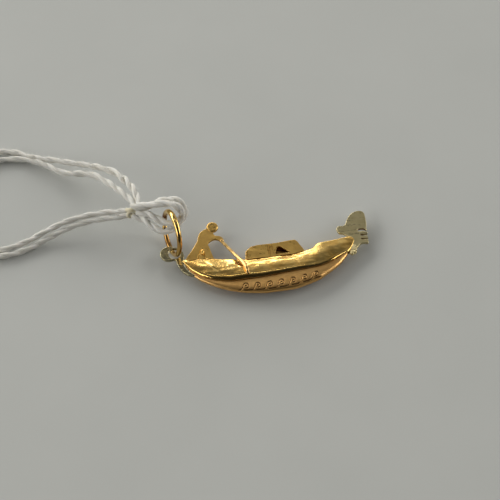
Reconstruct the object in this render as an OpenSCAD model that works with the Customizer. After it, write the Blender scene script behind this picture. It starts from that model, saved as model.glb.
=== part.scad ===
// Gondola charm in two colours of gold, lying on its side, with a jump ring and a tag string.
// +X runs to the bow, +Y from the keel to the gondolier's head, +Z up from the table.

/* [Hull] */
// Half of the beam amidships
half_beam = 1.25; // [1.0:0.05:1.4]
// Thickness of the pressed gold sheet
wall = 0.22; // [0.15:0.01:0.3]
// Radius of the rolled gunwale
bead_r = 0.24; // [0.15:0.01:0.3]
// Half width of the flat deck top, as a share of the half beam
top_share = 0.36; // [0.2:0.01:0.45]
// How far the polished deck bulges
deck_bulge = 0.1; // [0:0.01:0.2]

/* [Cut sheet] */
// Thickness of the white gold plates
plate_t = 0.4; // [0.3:0.01:0.5]
// Thickness of the gondolier's sheet
figure_t = 0.36; // [0.3:0.01:0.5]
// Thickness of the gondolier's head
head_t = 0.6; // [0.4:0.01:0.8]
// Radius of the gondolier's head
head_r = 0.84; // [0.6:0.01:1.0]
// Radius of the oar
oar_r = 0.2; // [0.15:0.01:0.25]

/* [Cabin] */
// Width of the cabin across the deck
cabin_w = 1.0; // [0.8:0.05:1.2]
// Wall of the cabin
cabin_wall = 0.18; // [0.12:0.01:0.25]

/* [Eyelet and ring] */
// Radius of the eyelet disc
eyelet_r = 1.3; // [1.2:0.01:1.4]
// Radius of the eyelet's hole
hole_r = 0.85; // [0.8:0.01:0.9]
// Radius from the ring's centre to the middle of its wire
ring_r = 3.14; // [3.1:0.01:3.2]
// Radius of the ring's wire
wire_r = 0.36; // [0.3:0.01:0.37]

/* [String] */
// Radius of one cotton string
string_r = 0.375; // [0.3:0.005:0.38]
// Radius of the large half of the knot
knot_r = 0.95; // [0.8:0.05:1.1]

/* [Hidden] */

yellow_gold = [0.85, 0.62, 0.25];
satin_gold = [0.78, 0.56, 0.26];
white_gold = [0.66, 0.64, 0.50];
cotton = [0.88, 0.87, 0.83];

// The charm lies with its middle plane at this height.
mid_z = half_beam;
// Facets of round plates, and of the ring and its wire
round_fn = 48;
ring_fn = 96;
wire_fn = 32;
knot_fn = 24;
// Longer than anything that it cuts through
through = 3;

// Outlines seen from above, as [x, y]: the deck's top edge, the gunwale and the keel.
ridge_line = [[-12.2, 0.3], [-7.8, -0.25], [-5.1, -0.7], [-2.7, -1.1], [1.2, -1.05], [3.8, -1.0],
              [5.4, -0.7], [6.7, -0.45], [7.2, 0.1], [7.9, 0.35], [9.4, 0.5], [12.3, 1.0],
              [12.9, 0.85]];
gunwale_line = [[-12.2, 0.15], [-10.8, -2.1], [-8.7, -3.8], [-6.1, -4.65], [-4.4, -4.75], [-0.8, -4.75],
                [3.0, -4.4], [7.1, -3.95], [9.0, -3.25], [11.1, -2.0], [11.7, -1.7], [12.3, -0.85],
                [12.9, 0.5]];
keel_line = [[-12.2, 0.05], [-10.7, -2.75], [-8.8, -4.4], [-6.3, -5.7], [-4.6, -6.3], [-3.0, -6.65],
             [-1.1, -6.9], [0.3, -6.9], [2.6, -6.85], [3.8, -6.7], [6.9, -5.7], [7.4, -5.4],
             [10.0, -3.65], [11.7, -1.85]];
deck_ends = [-12.2, 12.9];
hull_ends = [-11.8, 11.4];
stations = 44;
beam_middle = 0.35;
beam_half_length = 12.9;

// Centre of the eyelet's disc, and its hole, which is off centre
eyelet_at = [-13.75, 1.55];
hole_at = [-13.0, 1.4];
// Centre of the rower's head
head_at = [-7.05, 5.4];
// The bow iron's tang is a little thicker than the iron.
tang_extra = 0.15;

// The jump ring stands on its rim and leans a little, with its wire through the eyelet's hole.
ring_turn = 12.5;
ring_lean = 8;
ring_reach = 2.14;
ring_side = 0.45;
ring_at = [hole_at[0] + ring_side * cos(ring_turn) - ring_reach * sin(ring_turn),
           hole_at[1] + ring_side * sin(ring_turn) + ring_reach * cos(ring_turn),
           ring_r * cos(ring_lean) + wire_r];

// The string's knot has two lobes.
knot_at = [-18.4, 7.6, 4.2];
knot_top_at = [-17.2, 7.7, 4.5];
knot_top_r = 0.8;

// Each bight leaves the knot, passes over the ring's top and comes back through the ring.
bight_a_route = [[-18.3, 8.0, 4.5], [-17.1, 7.6, 4.9], [-15.2, 7.5, 5.6], [-13.4, 7.5, 6.3],
                 [-11.9, 7.0, 6.5], [-11.0, 6.3, 6.1], [-10.9, 5.6, 5.3], [-11.7, 4.6, 4.6],
                 [-13.1, 3.8, 4.1], [-14.4, 3.6, 4.0], [-15.7, 4.7, 4.2], [-16.8, 6.1, 4.1],
                 [-18.2, 7.0, 3.9]];
bight_b_route = [[-18.2, 8.1, 4.8], [-16.8, 7.6, 5.4], [-15.0, 6.9, 6.3], [-13.5, 6.4, 6.9],
                 [-12.2, 5.7, 7.1], [-11.4, 5.0, 6.5], [-11.5, 4.5, 5.6], [-12.4, 4.1, 5.0],
                 [-13.6, 4.4, 4.9], [-14.8, 5.3, 4.9], [-16.1, 6.4, 4.8], [-17.6, 7.1, 4.4]];

// Each string runs up the upper branch, turns back on the table and ends in the knot again.
string_a_route = [[-17.2, 7.8, 4.7], [-17.6, 11.3, 4.4], [-19.2, 14.5, 3.8], [-20.9, 16.5, 3.2],
                  [-23.5, 18.2, 2.5], [-26.0, 19.5, 1.9], [-28.2, 20.7, 1.4], [-30.2, 21.6, 1],
                  [-32.2, 22.6, 0.7], [-34.2, 23.8, 0.5], [-36.6, 24.2, 0.5], [-39.4, 23.6, 0.5],
                  [-42.4, 21.9, 0.5], [-44.9, 19.0, 0.5], [-46.0, 15.4, 0.5], [-45.6, 11.6, 0.5],
                  [-43.9, 8.4, 0.5], [-41.4, 6.2, 0.5], [-38.6, 5.2, 0.5], [-35.6, 5.3, 0.5],
                  [-33.1, 6.1, 0.5], [-31.3, 6.85, 0.7], [-29.2, 7.55, 1.1], [-26.9, 8.1, 1.7],
                  [-24.5, 8.2, 2.3], [-22.4, 7.95, 2.9], [-20.6, 7.5, 3.4], [-18.6, 7.3, 4.1]];
string_b_route = [[-17.5, 7.9, 4.6], [-18.4, 10.0, 4.2], [-19.7, 12.0, 3.8], [-21.2, 14.1, 3.3],
                  [-22.6, 15.8, 2.8], [-24.2, 16.9, 2.3], [-26.0, 17.5, 1.9], [-27.6, 18.3, 1.5],
                  [-29.0, 19.6, 1.2], [-30.5, 20.9, 0.9], [-32.4, 22.0, 0.6], [-34.6, 22.6, 0.5],
                  [-36.8, 22.6, 0.5], [-39.3, 21.7, 0.5], [-41.7, 20.0, 0.5], [-43.5, 17.6, 0.5],
                  [-44.2, 14.6, 0.5], [-43.6, 11.4, 0.5], [-42.0, 8.8, 0.5], [-39.8, 7.0, 0.5],
                  [-37.4, 6.2, 0.5], [-35.6, 6.5, 0.6], [-33.6, 7.0, 0.8], [-31.2, 7.9, 1.2],
                  [-29.0, 8.6, 1.7], [-26.6, 9.0, 2.2], [-24.4, 9.0, 2.7], [-22.0, 8.7, 3.3],
                  [-20.2, 8.2, 3.8], [-18.6, 7.8, 4.3]];
string_sides = 8;

// The oar leaves the hands, crosses the deck's edge and bends onto the gunwale.
oar_route = [[-6.0, 2.7, 1.3], [-5.3, 1.4, 1.5], [-4.5, -0.2, 1.8], [-3.9, -1.4, 2.15],
             [-3.5, -2.4, 2.45], [-3.25, -3.3, 2.65], [-3.2, -4.0, 2.65]];
oar_sides = 12;

function mix(a, b, t) = a + (b - a) * t;
function segment(x, line, i = 0) = (i >= len(line) - 2 || x <= line[i + 1][0]) ? i : segment(x, line, i + 1);
function slope(line, i) =
    let (a = max(i - 1, 0), b = min(i + 1, len(line) - 1))
    (line[b][1] - line[a][1]) / (line[b][0] - line[a][0]);
// The height of a smooth curve through the points of a line
function smooth(x, line) =
    let (i = segment(x, line), w = line[i + 1][0] - line[i][0], s = (x - line[i][0]) / w)
    (2 * s * s * s - 3 * s * s + 1) * line[i][1] + (s * s * s - 2 * s * s + s) * w * slope(line, i)
    + (3 * s * s - 2 * s * s * s) * line[i + 1][1] + (s * s * s - s * s) * w * slope(line, i + 1);

function beam(x) = half_beam * pow(1 - pow(abs((x - beam_middle) / beam_half_length), 2.4), 0.75);
function bead(x) = min(bead_r, 0.45 * beam(x));
function backward(points) = [for (i = [len(points) - 1:-1:0]) points[i]];
function mirrored(points) = [for (p = points) [p[0], -p[1]]];

// The edges never cross: the deck and the hull keep at least this depth at their thin ends.
least_depth = 0.1;
function ridge(x) = smooth(x, ridge_line);
function gunwale(x) = min(smooth(x, gunwale_line), ridge(x) - least_depth);
function keel(x) = min(smooth(x, keel_line), gunwale(x) - least_depth);
function deck_bead(x) = min(bead(x), (ridge(x) - gunwale(x)) / 3);
// The sheet thins where the section gets small.
function deck_wall(x) = min(wall, 0.3 * beam(x), 0.2 * (ridge(x) - gunwale(x)));
function hull_wall(x) = min(wall, 0.35 * (beam(x) - bead(x)), 0.3 * (gunwale(x) - keel(x)));

// Half sections as [y, z from the middle plane], from the middle outward.
function deck_outside(x) =
    let (ridge = ridge(x), gunwale = gunwale(x), b = beam(x), r = deck_bead(x), top = top_share * b)
    concat(
        [[ridge - 0.15 * top, top]],
        [for (t = [0.25:0.25:0.75])
            [mix(ridge, gunwale + 2 * r, t), mix(top, b - 0.1 * r, t) + deck_bulge * b * sin(180 * t)]],
        [for (a = [60:-30:-90]) [gunwale + r + r * sin(a), b - r + r * cos(a)]]);
function deck_inside(x) =
    let (ridge = ridge(x), gunwale = gunwale(x), b = beam(x), r = deck_bead(x), w = deck_wall(x))
    [[ridge - 1.2 * w, max(top_share * b - 0.9 * w, 0.02)], [gunwale + 2 * r, b - 1.1 * w - 0.1 * r],
     [gunwale, b - r - w]];
function deck_section(x) =
    let (ridge = ridge(x), w = deck_wall(x), outside = deck_outside(x), inside = deck_inside(x))
    concat([[ridge, 0.6 * top_share * beam(x)]], outside, backward(inside), [[ridge - 1.2 * w, 0]],
           mirrored(inside), backward(mirrored(outside)), [[ridge, -0.6 * top_share * beam(x)]]);

function hull_half(x, w) =
    let (gunwale = gunwale(x), keel = keel(x), b = beam(x) - bead(x))
    [for (a = [0:15:75]) [gunwale - (gunwale - keel - 1.2 * w) * sin(a), (b - w) * pow(cos(a), 0.75)]];
function hull_section(x) =
    let (keel = keel(x), w = hull_wall(x), outside = hull_half(x, 0), inside = hull_half(x, w))
    concat(outside, [[keel, 0]], backward(mirrored(outside)), mirrored(inside), [[keel + 1.2 * w, 0]],
           backward(inside));

// A closed skin through rings of equal length, in order
module skin(rings) {
    n = len(rings[0]);
    m = len(rings);
    sides = [for (i = [0:m - 2], j = [0:n - 1], k = [0, 1])
        let (a = i * n + j, b = i * n + (j + 1) % n)
        k == 0 ? [a, b + n, b] : [a, a + n, b + n]];
    ends = [[for (j = [0:n - 1]) j], [for (j = [n - 1:-1:0]) (m - 1) * n + j]];
    polyhedron(points = [for (ring = rings, p = ring) p], faces = concat(sides, ends));
}

// A shell whose section changes from station to station
function shell_rings(ends, sections) =
    [for (i = [0:stations])
        let (x = mix(ends[0], ends[1], i / stations))
        [for (p = sections(x)) [x, p[0], mid_z + p[1]]]];

function unit(v) = v / norm(v);
// The direction of a route at one of its points
function heading(route, i) = unit(route[min(i + 1, len(route) - 1)] - route[max(i - 1, 0)]);
// A round tube along a route
module tube(route, radius, sides) {
    step = 360 / sides;
    skin([for (i = [0:len(route) - 1])
        let (along = heading(route, i), side = unit(cross(along, [0, 0, 1])), over = cross(side, along))
        [for (k = [sides - 1:-1:0]) route[i] + radius * (side * cos(k * step) + over * sin(k * step))]]);
}

// A flat plate centred on the middle plane
module plate(thickness) {
    translate([0, 0, mid_z - thickness / 2]) linear_extrude(thickness) children();
}

// Pressed lower half of the boat, open under the deck
module hull_shell() {
    color(satin_gold) skin(shell_rings(hull_ends, function (x) hull_section(x)));
}

// Pressed deck with the rolled gunwale and the raised foredeck
module deck_shell() {
    color(yellow_gold) skin(shell_rings(deck_ends, function (x) deck_section(x)));
}

// Bow iron: a cap blade with a tooth behind, an arched eye and three prongs
module bow_ferro() {
    color(white_gold) plate(plate_t) polygon([
        [12.1, -1.5], [12.0, -0.2], [12.3, 0.9], [11.9, 1.15], [11.4, 1.6], [10.85, 1.8], [10.62, 2.2],
        [10.65, 2.7], [10.95, 3.0], [11.65, 3.0], [11.9, 3.15], [12.05, 3.4], [12.3, 4.0], [12.55, 4.4],
        [12.9, 4.8], [13.4, 5.15], [13.9, 5.33], [14.4, 5.33], [14.75, 5.2], [14.98, 4.85], [15.05, 4.2],
        [15.03, 3.2], [14.9, 2.2], [14.85, 1.75], [14.5, 2.05], [14.05, 2.15], [13.65, 2.05], [13.52, 1.85],
        [13.65, 1.7], [14.3, 1.68], [14.75, 1.5], [14.9, 1.35], [14.85, 1.08], [13.85, 1.15], [13.83, 0.9],
        [14.8, 0.8], [14.85, 0.35], [13.85, 0.42], [13.83, 0.22], [14.8, 0.1], [14.75, -0.5],
        [13.7, -0.45], [13.2, -0.9], [12.7, -1.5]]);
}

// Rough end of the ferro's tang, folded under the bow
module ferro_tang() {
    color(yellow_gold) plate(plate_t + tang_extra) polygon([
        [12.5, -0.5], [13.0, -0.8], [13.1, -1.0], [12.85, -1.2], [12.9, -1.45], [12.65, -1.6], [12.7, -1.9],
        [12.4, -1.95], [12.2, -2.15], [11.9, -1.95], [11.8, -1.7], [12.0, -1.3], [12.1, -0.8]]);
}

// Stern plate: a disc with its hole off centre, a neck and a crescent along the stern
module stern_eyelet() {
    color(white_gold) difference() {
        union() {
            translate([eyelet_at[0], eyelet_at[1], mid_z - plate_t / 2])
                cylinder(h = plate_t, r = eyelet_r, $fn = round_fn);
            plate(plate_t) polygon([
                [-13.75, 2.4], [-12.6, 2.5], [-11.95, 2.0], [-11.7, 1.2], [-11.75, 0.3], [-11.9, -0.6],
                [-11.6, -1.5], [-11.1, -2.2], [-10.5, -2.85], [-11.1, -2.75], [-11.8, -2.3], [-12.3, -1.7],
                [-12.65, -0.9], [-12.85, -0.1], [-13.75, 0.7]]);
        }
        translate([hole_at[0], hole_at[1], 0]) cylinder(h = through, r = hole_r, $fn = round_fn);
    }
}

// Rower cut from flat sheet, leaning forward with feet apart
module gondolier_body() {
    color(satin_gold) plate(figure_t) polygon([
        [-11.55, 0.1], [-11.3, 0.6], [-10.6, 1.5], [-9.75, 2.8], [-9.5, 3.2], [-9.38, 3.6], [-9.15, 4.3],
        [-8.75, 4.8], [-8.1, 5.15], [-7.5, 5.3], [-7.1, 4.9], [-7.05, 4.35], [-6.85, 3.85], [-6.3, 3.7],
        [-5.9, 3.4], [-5.7, 2.95], [-5.9, 2.55], [-6.15, 2.65], [-6.45, 3.0], [-6.85, 3.15], [-7.25, 3.12],
        [-7.75, 2.85], [-8.1, 2.5], [-7.95, 2.1], [-7.75, 1.0], [-7.55, 0.1], [-7.5, -0.45], [-8.75, -0.3],
        [-8.75, 0.6], [-8.8, 1.75], [-8.95, 1.7], [-9.7, 0.5], [-9.75, -0.2], [-11.4, -0.1]]);
}

// Head of the rower, a thick plain disc
module gondolier_head() {
    color(yellow_gold) translate([head_at[0], head_at[1], mid_z - head_t / 2])
        cylinder(h = head_t, r = head_r, $fn = round_fn);
}

// Oar from the hands to the gunwale
module oar() {
    color(yellow_gold) tube(oar_route, oar_r, oar_sides);
}

module cabin_outline() {
    polygon([[-3.0, -1.2], [-2.96, 0.05], [-2.75, 0.35], [-2.3, 0.75], [-1.8, 0.98], [1.6, 1.1],
             [4.05, 1.3], [4.35, 1.25], [4.6, 1.0], [4.9, 0.4], [5.35, -0.6], [5.4, -0.85],
             [3.8, -1.15], [1.2, -1.2]]);
}
module cabin_hollow() {
    polygon([[-2.8, -1.4], [-2.78, 0.0], [-2.2, 0.58], [-1.75, 0.8], [1.6, 0.92], [4.05, 1.1],
             [4.4, 0.9], [5.15, -0.6], [5.2, -1.4]]);
}
module cabin_window() {
    polygon([[1.6, 0.4], [2.0, 0.43], [3.3, -0.65], [3.25, -0.78], [1.3, -0.86], [1.25, -0.75]]);
}
// Cabin with sloping ends, open under, and a three-cornered window in the near side
module felze_cabin() {
    inside_w = cabin_w - 2 * cabin_wall;
    color(satin_gold) difference() {
        plate(cabin_w) cabin_outline();
        plate(inside_w) cabin_hollow();
        translate([0, 0, cabin_w]) plate(2 * cabin_w) cabin_window();
    }
}

// Round wire ring through the eyelet
module jump_ring() {
    color(yellow_gold) translate(ring_at) rotate([0, 90 + ring_lean, ring_turn])
        rotate_extrude($fn = ring_fn) translate([ring_r, 0]) circle(wire_r, $fn = wire_fn);
}

// Knot that ties both strings beside the ring
module string_knot() {
    color(cotton) hull() {
        translate(knot_at) sphere(knot_r, $fn = knot_fn);
        translate(knot_top_at) sphere(knot_top_r, $fn = knot_fn);
    }
}

module string_bight_a() {
    color(cotton) tube(bight_a_route, string_r, string_sides);
}
module string_bight_b() {
    color(cotton) tube(bight_b_route, string_r, string_sides);
}
module string_a() {
    color(cotton) tube(string_a_route, string_r, string_sides);
}
module string_b() {
    color(cotton) tube(string_b_route, string_r, string_sides);
}

hull_shell();
deck_shell();
bow_ferro();
ferro_tang();
stern_eyelet();
gondolier_body();
gondolier_head();
oar();
felze_cabin();
jump_ring();
string_knot();
string_bight_a();
string_bight_b();
string_a();
string_b();
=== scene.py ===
import math
import random

import bmesh
import bpy
import numpy as np
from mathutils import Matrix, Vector, noise


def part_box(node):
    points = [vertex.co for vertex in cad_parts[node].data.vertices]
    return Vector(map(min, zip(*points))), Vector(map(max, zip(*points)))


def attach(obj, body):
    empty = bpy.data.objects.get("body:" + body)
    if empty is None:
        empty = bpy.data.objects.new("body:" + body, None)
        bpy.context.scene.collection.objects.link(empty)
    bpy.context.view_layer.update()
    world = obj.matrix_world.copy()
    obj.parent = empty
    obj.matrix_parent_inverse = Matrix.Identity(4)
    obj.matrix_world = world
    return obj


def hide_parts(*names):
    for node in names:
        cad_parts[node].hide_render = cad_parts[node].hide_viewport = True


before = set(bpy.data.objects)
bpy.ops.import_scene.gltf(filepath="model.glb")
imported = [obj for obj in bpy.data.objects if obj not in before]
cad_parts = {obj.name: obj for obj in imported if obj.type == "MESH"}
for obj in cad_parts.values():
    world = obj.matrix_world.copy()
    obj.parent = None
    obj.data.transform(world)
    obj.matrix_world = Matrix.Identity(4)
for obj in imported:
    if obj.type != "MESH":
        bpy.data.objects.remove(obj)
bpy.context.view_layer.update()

# Everything is worked out in millimetres and stored in metres.
MM = 0.001
CORNER = True


def place_in_scene(name, data):
    obj = bpy.data.objects.new(name, data)
    bpy.context.scene.collection.objects.link(obj)
    return obj


# ---- sizes from the frame

def box_mm(node):
    """Lowest and highest corner of a CAD node, in millimetres."""
    lo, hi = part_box(node)
    return Vector(lo) / MM, Vector(hi) / MM


DECK_LO, DECK_HI = box_mm("deck_shell")
RING_LO, RING_HI = box_mm("jump_ring")
MID_Z = (DECK_LO.z + DECK_HI.z) / 2
HALF_BEAM = (DECK_HI.z - DECK_LO.z) / 2
WIRE_R = 0.36
STRING_R = 0.375
RING_MIDDLE = (RING_LO + RING_HI) / 2
RING_TURN, RING_LEAN = math.radians(12.5), math.radians(8)
RING_R = ((RING_HI.z - RING_LO.z) / 2 - WIRE_R) / math.cos(RING_LEAN)


def thickness_of(node):
    lo, hi = box_mm(node)
    return hi.z - lo.z


# ---- camera

CAMERA_AZIMUTH, CAMERA_ELEVATION = -8, 54
CAMERA_AIM = (-2.32, -0.05, 2.30)
CAMERA_DISTANCE = 300
CAMERA_LENS = 151.9


def make_camera():
    azimuth, elevation = math.radians(CAMERA_AZIMUTH), math.radians(CAMERA_ELEVATION)
    back = Vector((math.sin(azimuth) * math.cos(elevation),
                   -math.cos(azimuth) * math.cos(elevation),
                   math.sin(elevation)))
    lens = bpy.data.cameras.new("camera")
    lens.sensor_width = 36
    lens.lens = CAMERA_LENS
    lens.clip_start, lens.clip_end = 0.01, 5
    camera = place_in_scene("camera", lens)
    camera.location = (Vector(CAMERA_AIM) + CAMERA_DISTANCE * back) * MM
    camera.rotation_mode = "QUATERNION"
    camera.rotation_quaternion = (-back).to_track_quat("-Z", "Y")
    bpy.context.scene.camera = camera


make_camera()


# ---- lines and sweeps

def catmull_rom(points, step, closed=False):
    """Points about step apart on a smooth curve through the given ones."""
    points = np.array(points, float)
    if closed:
        padded = np.vstack([points[-1:], points, points[:2]])
    else:
        padded = np.vstack([2 * points[0] - points[1], points, 2 * points[-1] - points[-2]])
    out = []
    for i in range(1, len(padded) - 2):
        p0, p1, p2, p3 = padded[i - 1:i + 3]
        parts = max(2, int(np.linalg.norm(p2 - p1) / step))
        for t in np.arange(parts) / parts:
            out.append(0.5 * (2 * p1 + (p2 - p0) * t + (2 * p0 - 5 * p1 + 4 * p2 - p3) * t ** 2
                              + (3 * p1 - p0 - 3 * p2 + p3) * t ** 3))
    if not closed:
        out.append(points[-1])
    return np.array(out)


def evenly(path, step):
    """The same line with its points a step apart."""
    along = np.concatenate([[0], np.cumsum(np.linalg.norm(np.diff(path, axis=0), axis=1))])
    marks = np.linspace(0, along[-1], max(3, int(round(along[-1] / step)) + 1))
    return np.column_stack([np.interp(marks, along, path[:, k]) for k in range(3)])


def unit(v):
    return v / np.maximum(np.linalg.norm(v, axis=-1, keepdims=True), 1e-12)


def sides_of(path, closed=False):
    """Two directions square to a path at each point, which don't twist along it."""
    if closed:
        along = unit(np.roll(path, -1, axis=0) - np.roll(path, 1, axis=0))
    else:
        along = unit(np.gradient(path, axis=0))
    start = np.cross(along[0], [0.0, 0.0, 1.0])
    if np.linalg.norm(start) < 0.1:
        start = np.cross(along[0], [0.0, 1.0, 0.0])
    side = np.zeros_like(path)
    side[0] = unit(start)
    for i in range(1, len(path)):
        v = side[i - 1] - along[i] * side[i - 1].dot(along[i])
        side[i] = unit(v)
    return side, np.cross(along, side)


def grid_faces(rings, points, closed):
    """Faces of a skin over rings of equal length."""
    faces = []
    for i in range(rings if closed else rings - 1):
        a, b = i * points, (i + 1) % rings * points
        faces += [(a + j, a + (j + 1) % points, b + (j + 1) % points, b + j) for j in range(points)]
    if not closed:
        faces.append(tuple(reversed(range(points))))
        faces.append(tuple((rings - 1) * points + j for j in range(points)))
    return faces


class Shape:
    """Points and faces of one piece, in millimetres, with values for its material."""

    def __init__(self):
        self.points, self.faces, self.marks = [], [], {}
        self.count = 0

    def add(self, points, faces, **marks):
        points = np.asarray(points, float).reshape(-1, 3)
        self.faces += [tuple(self.count + k for k in face) for face in faces]
        self.points.append(points)
        for name in set(self.marks) | set(marks):
            values = self.marks.setdefault(name, [np.zeros(self.count)])
            given = marks.get(name, 0.0)
            values.append(np.broadcast_to(np.asarray(given, float).ravel(), (len(points),))
                          if np.ndim(given) else np.full(len(points), float(given)))
        self.count += len(points)
        return self

    def add_tube(self, path, radius, sides=24, closed=False, flat=1.0, **marks):
        """A tube along a path. radius is a number, or one for each point or each ring and side."""
        side, over = sides_of(path, closed)
        angle = np.arange(sides) * 2 * math.pi / sides
        radius = np.asarray(radius, float)
        if radius.ndim == 1:
            radius = radius[:, None]
        radius = np.broadcast_to(radius, (len(path), sides))[..., None]
        points = path[:, None, :] + radius * (np.cos(angle)[None, :, None] * side[:, None, :]
                                              + flat * np.sin(angle)[None, :, None] * over[:, None, :])
        return self.add(points, grid_faces(len(path), sides, closed), **marks)

    def add_blob(self, centre, radii, roughness, seed):
        """A lump of solder: a ball with an uneven surface."""
        ball = bmesh.new()
        bmesh.ops.create_icosphere(ball, subdivisions=4, radius=1)
        points = []
        for v in ball.verts:
            bump = noise.noise(v.co * 1.6 + Vector((seed, 0, 0)))
            fine = noise.noise(v.co * 5 + Vector((0, seed, 0)))
            swell = 1 + roughness * (bump + 0.3 * fine)
            points.append([centre[k] + radii[k] * v.co[k] * swell for k in range(3)])
        faces = [[v.index for v in f.verts] for f in ball.faces]
        ball.free()
        return self.add(points, faces)

    def piece(self, name, sharp=None, flat_caps=False):
        mesh = bpy.data.meshes.new(name)
        mesh.from_pydata((np.vstack(self.points) * MM).tolist(), [], self.faces)
        for mark, values in self.marks.items():
            layer = mesh.attributes.new(mark, "FLOAT", "POINT")
            layer.data.foreach_set("value", np.concatenate(values).astype(np.float32))
        mesh.validate()
        work = bmesh.new()
        work.from_mesh(mesh)
        bmesh.ops.recalc_face_normals(work, faces=work.faces)
        work.to_mesh(mesh)
        work.free()
        mesh.polygons.foreach_set("use_smooth", [True] * len(mesh.polygons))
        if sharp:
            mesh.set_sharp_from_angle(angle=math.radians(sharp))
        if flat_caps:
            weigh_normals(mesh)
        mesh.update()
        return place_in_scene(name, mesh)


def weigh_normals(mesh):
    """Normals led by the largest faces, so that a flat face with a rounded edge looks flat."""
    total = [Vector() for _ in mesh.vertices]
    for face in mesh.polygons:
        for v in face.vertices:
            total[v] += face.normal * face.area
    mesh.normals_split_custom_set_from_vertices([n.normalized() for n in total])


def mesh_shape(mesh):
    """Points and faces of a mesh in millimetres, with doubled points merged."""
    work = bmesh.new()
    work.from_mesh(mesh)
    bmesh.ops.remove_doubles(work, verts=work.verts, dist=0.0005)
    bmesh.ops.dissolve_degenerate(work, edges=work.edges, dist=0.0002)
    work.verts.index_update()
    points = [list(v.co) for v in work.verts]
    faces = [[v.index for v in f.verts] for f in work.faces]
    work.free()
    return points, faces


def cut_sheet(outline, holes, thickness, edge, middle, smooth=6):
    """A plate with rounded edges. An outline's points are (x, y), or (x, y, CORNER) at a corner."""
    data = bpy.data.curves.new("outline", "CURVE")
    data.dimensions = "2D"
    data.fill_mode = "BOTH"
    data.resolution_u = smooth
    data.extrude = thickness / 2 - edge
    data.bevel_depth = edge
    data.bevel_resolution = 3
    data.offset = -edge
    for loop in [outline, *holes]:
        line = data.splines.new("BEZIER")
        line.bezier_points.add(len(loop) - 1)
        line.use_cyclic_u = True
        for bezier, place in zip(line.bezier_points, loop):
            bezier.co = (place[0], place[1], 0)
            kind = "VECTOR" if len(place) > 2 else "AUTO"
            bezier.handle_left_type = bezier.handle_right_type = kind
    temporary = bpy.data.objects.new("outline", data)
    mesh = bpy.data.meshes.new_from_object(temporary)
    points, faces = mesh_shape(mesh)
    bpy.data.objects.remove(temporary)
    bpy.data.curves.remove(data)
    bpy.data.meshes.remove(mesh)
    points = np.array(points)
    points[:, 2] += middle
    return points, faces


def arc(centre, radius, start, stop, parts):
    """Points on an arc, with its angles in degrees."""
    return [(centre[0] + radius * math.cos(math.radians(a)), centre[1] + radius * math.sin(math.radians(a)))
            for a in np.linspace(start, stop, parts)]


# ---- materials

class Look:
    """A material built from nodes. Coordinates are in millimetres on the piece."""

    def __init__(self, name):
        self.material = bpy.data.materials.new(name)
        self.material.use_nodes = True
        self.tree = self.material.node_tree
        self.shader = self.tree.nodes["Principled BSDF"]
        where = self.node("TexCoord").outputs["Object"]
        self.place = self.node("Mapping", Vector=where, Scale=(1 / MM, 1 / MM, 1 / MM)).outputs["Vector"]

    def put(self, value, socket):
        if isinstance(value, bpy.types.NodeSocket):
            self.tree.links.new(value, socket)
        else:
            socket.default_value = value

    def fill(self, node, values):
        for name, value in values.items():
            self.put(value, node.inputs[name.replace("_", " ")])

    def set(self, **values):
        self.fill(self.shader, values)

    def node(self, kind, **values):
        node = self.tree.nodes.new("ShaderNode" + kind)
        self.fill(node, values)
        return node

    def stretched(self, scale, turn=(0, 0, 0)):
        rotation = [math.radians(a) for a in turn]
        return self.node("Mapping", Vector=self.place, Scale=scale, Rotation=rotation).outputs["Vector"]

    def noise(self, scale, detail=3, vector=None, rough=0.55, distortion=0.0):
        return self.node("TexNoise", Vector=vector or self.place, Scale=scale, Detail=detail,
                         Roughness=rough, Distortion=distortion).outputs["Fac"]

    def mark(self, name):
        node = self.node("Attribute")
        node.attribute_name = name
        return node.outputs["Fac"]

    def edges(self):
        """0 on flat faces, towards 1 on sharp convex edges"""
        return self.spread(self.node("NewGeometry").outputs["Pointiness"], 0.5, 0.62, 0, 1)

    def spread(self, value, low, high, to_low, to_high):
        return self.node("MapRange", Value=value, From_Min=low, From_Max=high,
                         To_Min=to_low, To_Max=to_high).outputs["Result"]

    def maths(self, operation, a, b=0.0):
        node = self.node("Math")
        node.operation = operation
        self.put(a, node.inputs[0])
        self.put(b, node.inputs[1])
        return node.outputs["Value"]

    def mix(self, share, a, b):
        node = self.node("Mix")
        node.data_type = "RGBA"
        self.put(share, node.inputs["Factor"])
        for value, socket in ((a, node.inputs[6]), (b, node.inputs[7])):
            self.put(value if isinstance(value, bpy.types.NodeSocket) else (*value, 1), socket)
        return node.outputs[2]

    def bump(self, height, strength, depth, under=None):
        """depth is the height of the relief in millimetres."""
        node = self.node("Bump", Strength=strength, Distance=depth * MM, Height=height)
        if under:
            self.put(under, node.inputs["Normal"])
        return node.outputs["Normal"]


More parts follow.
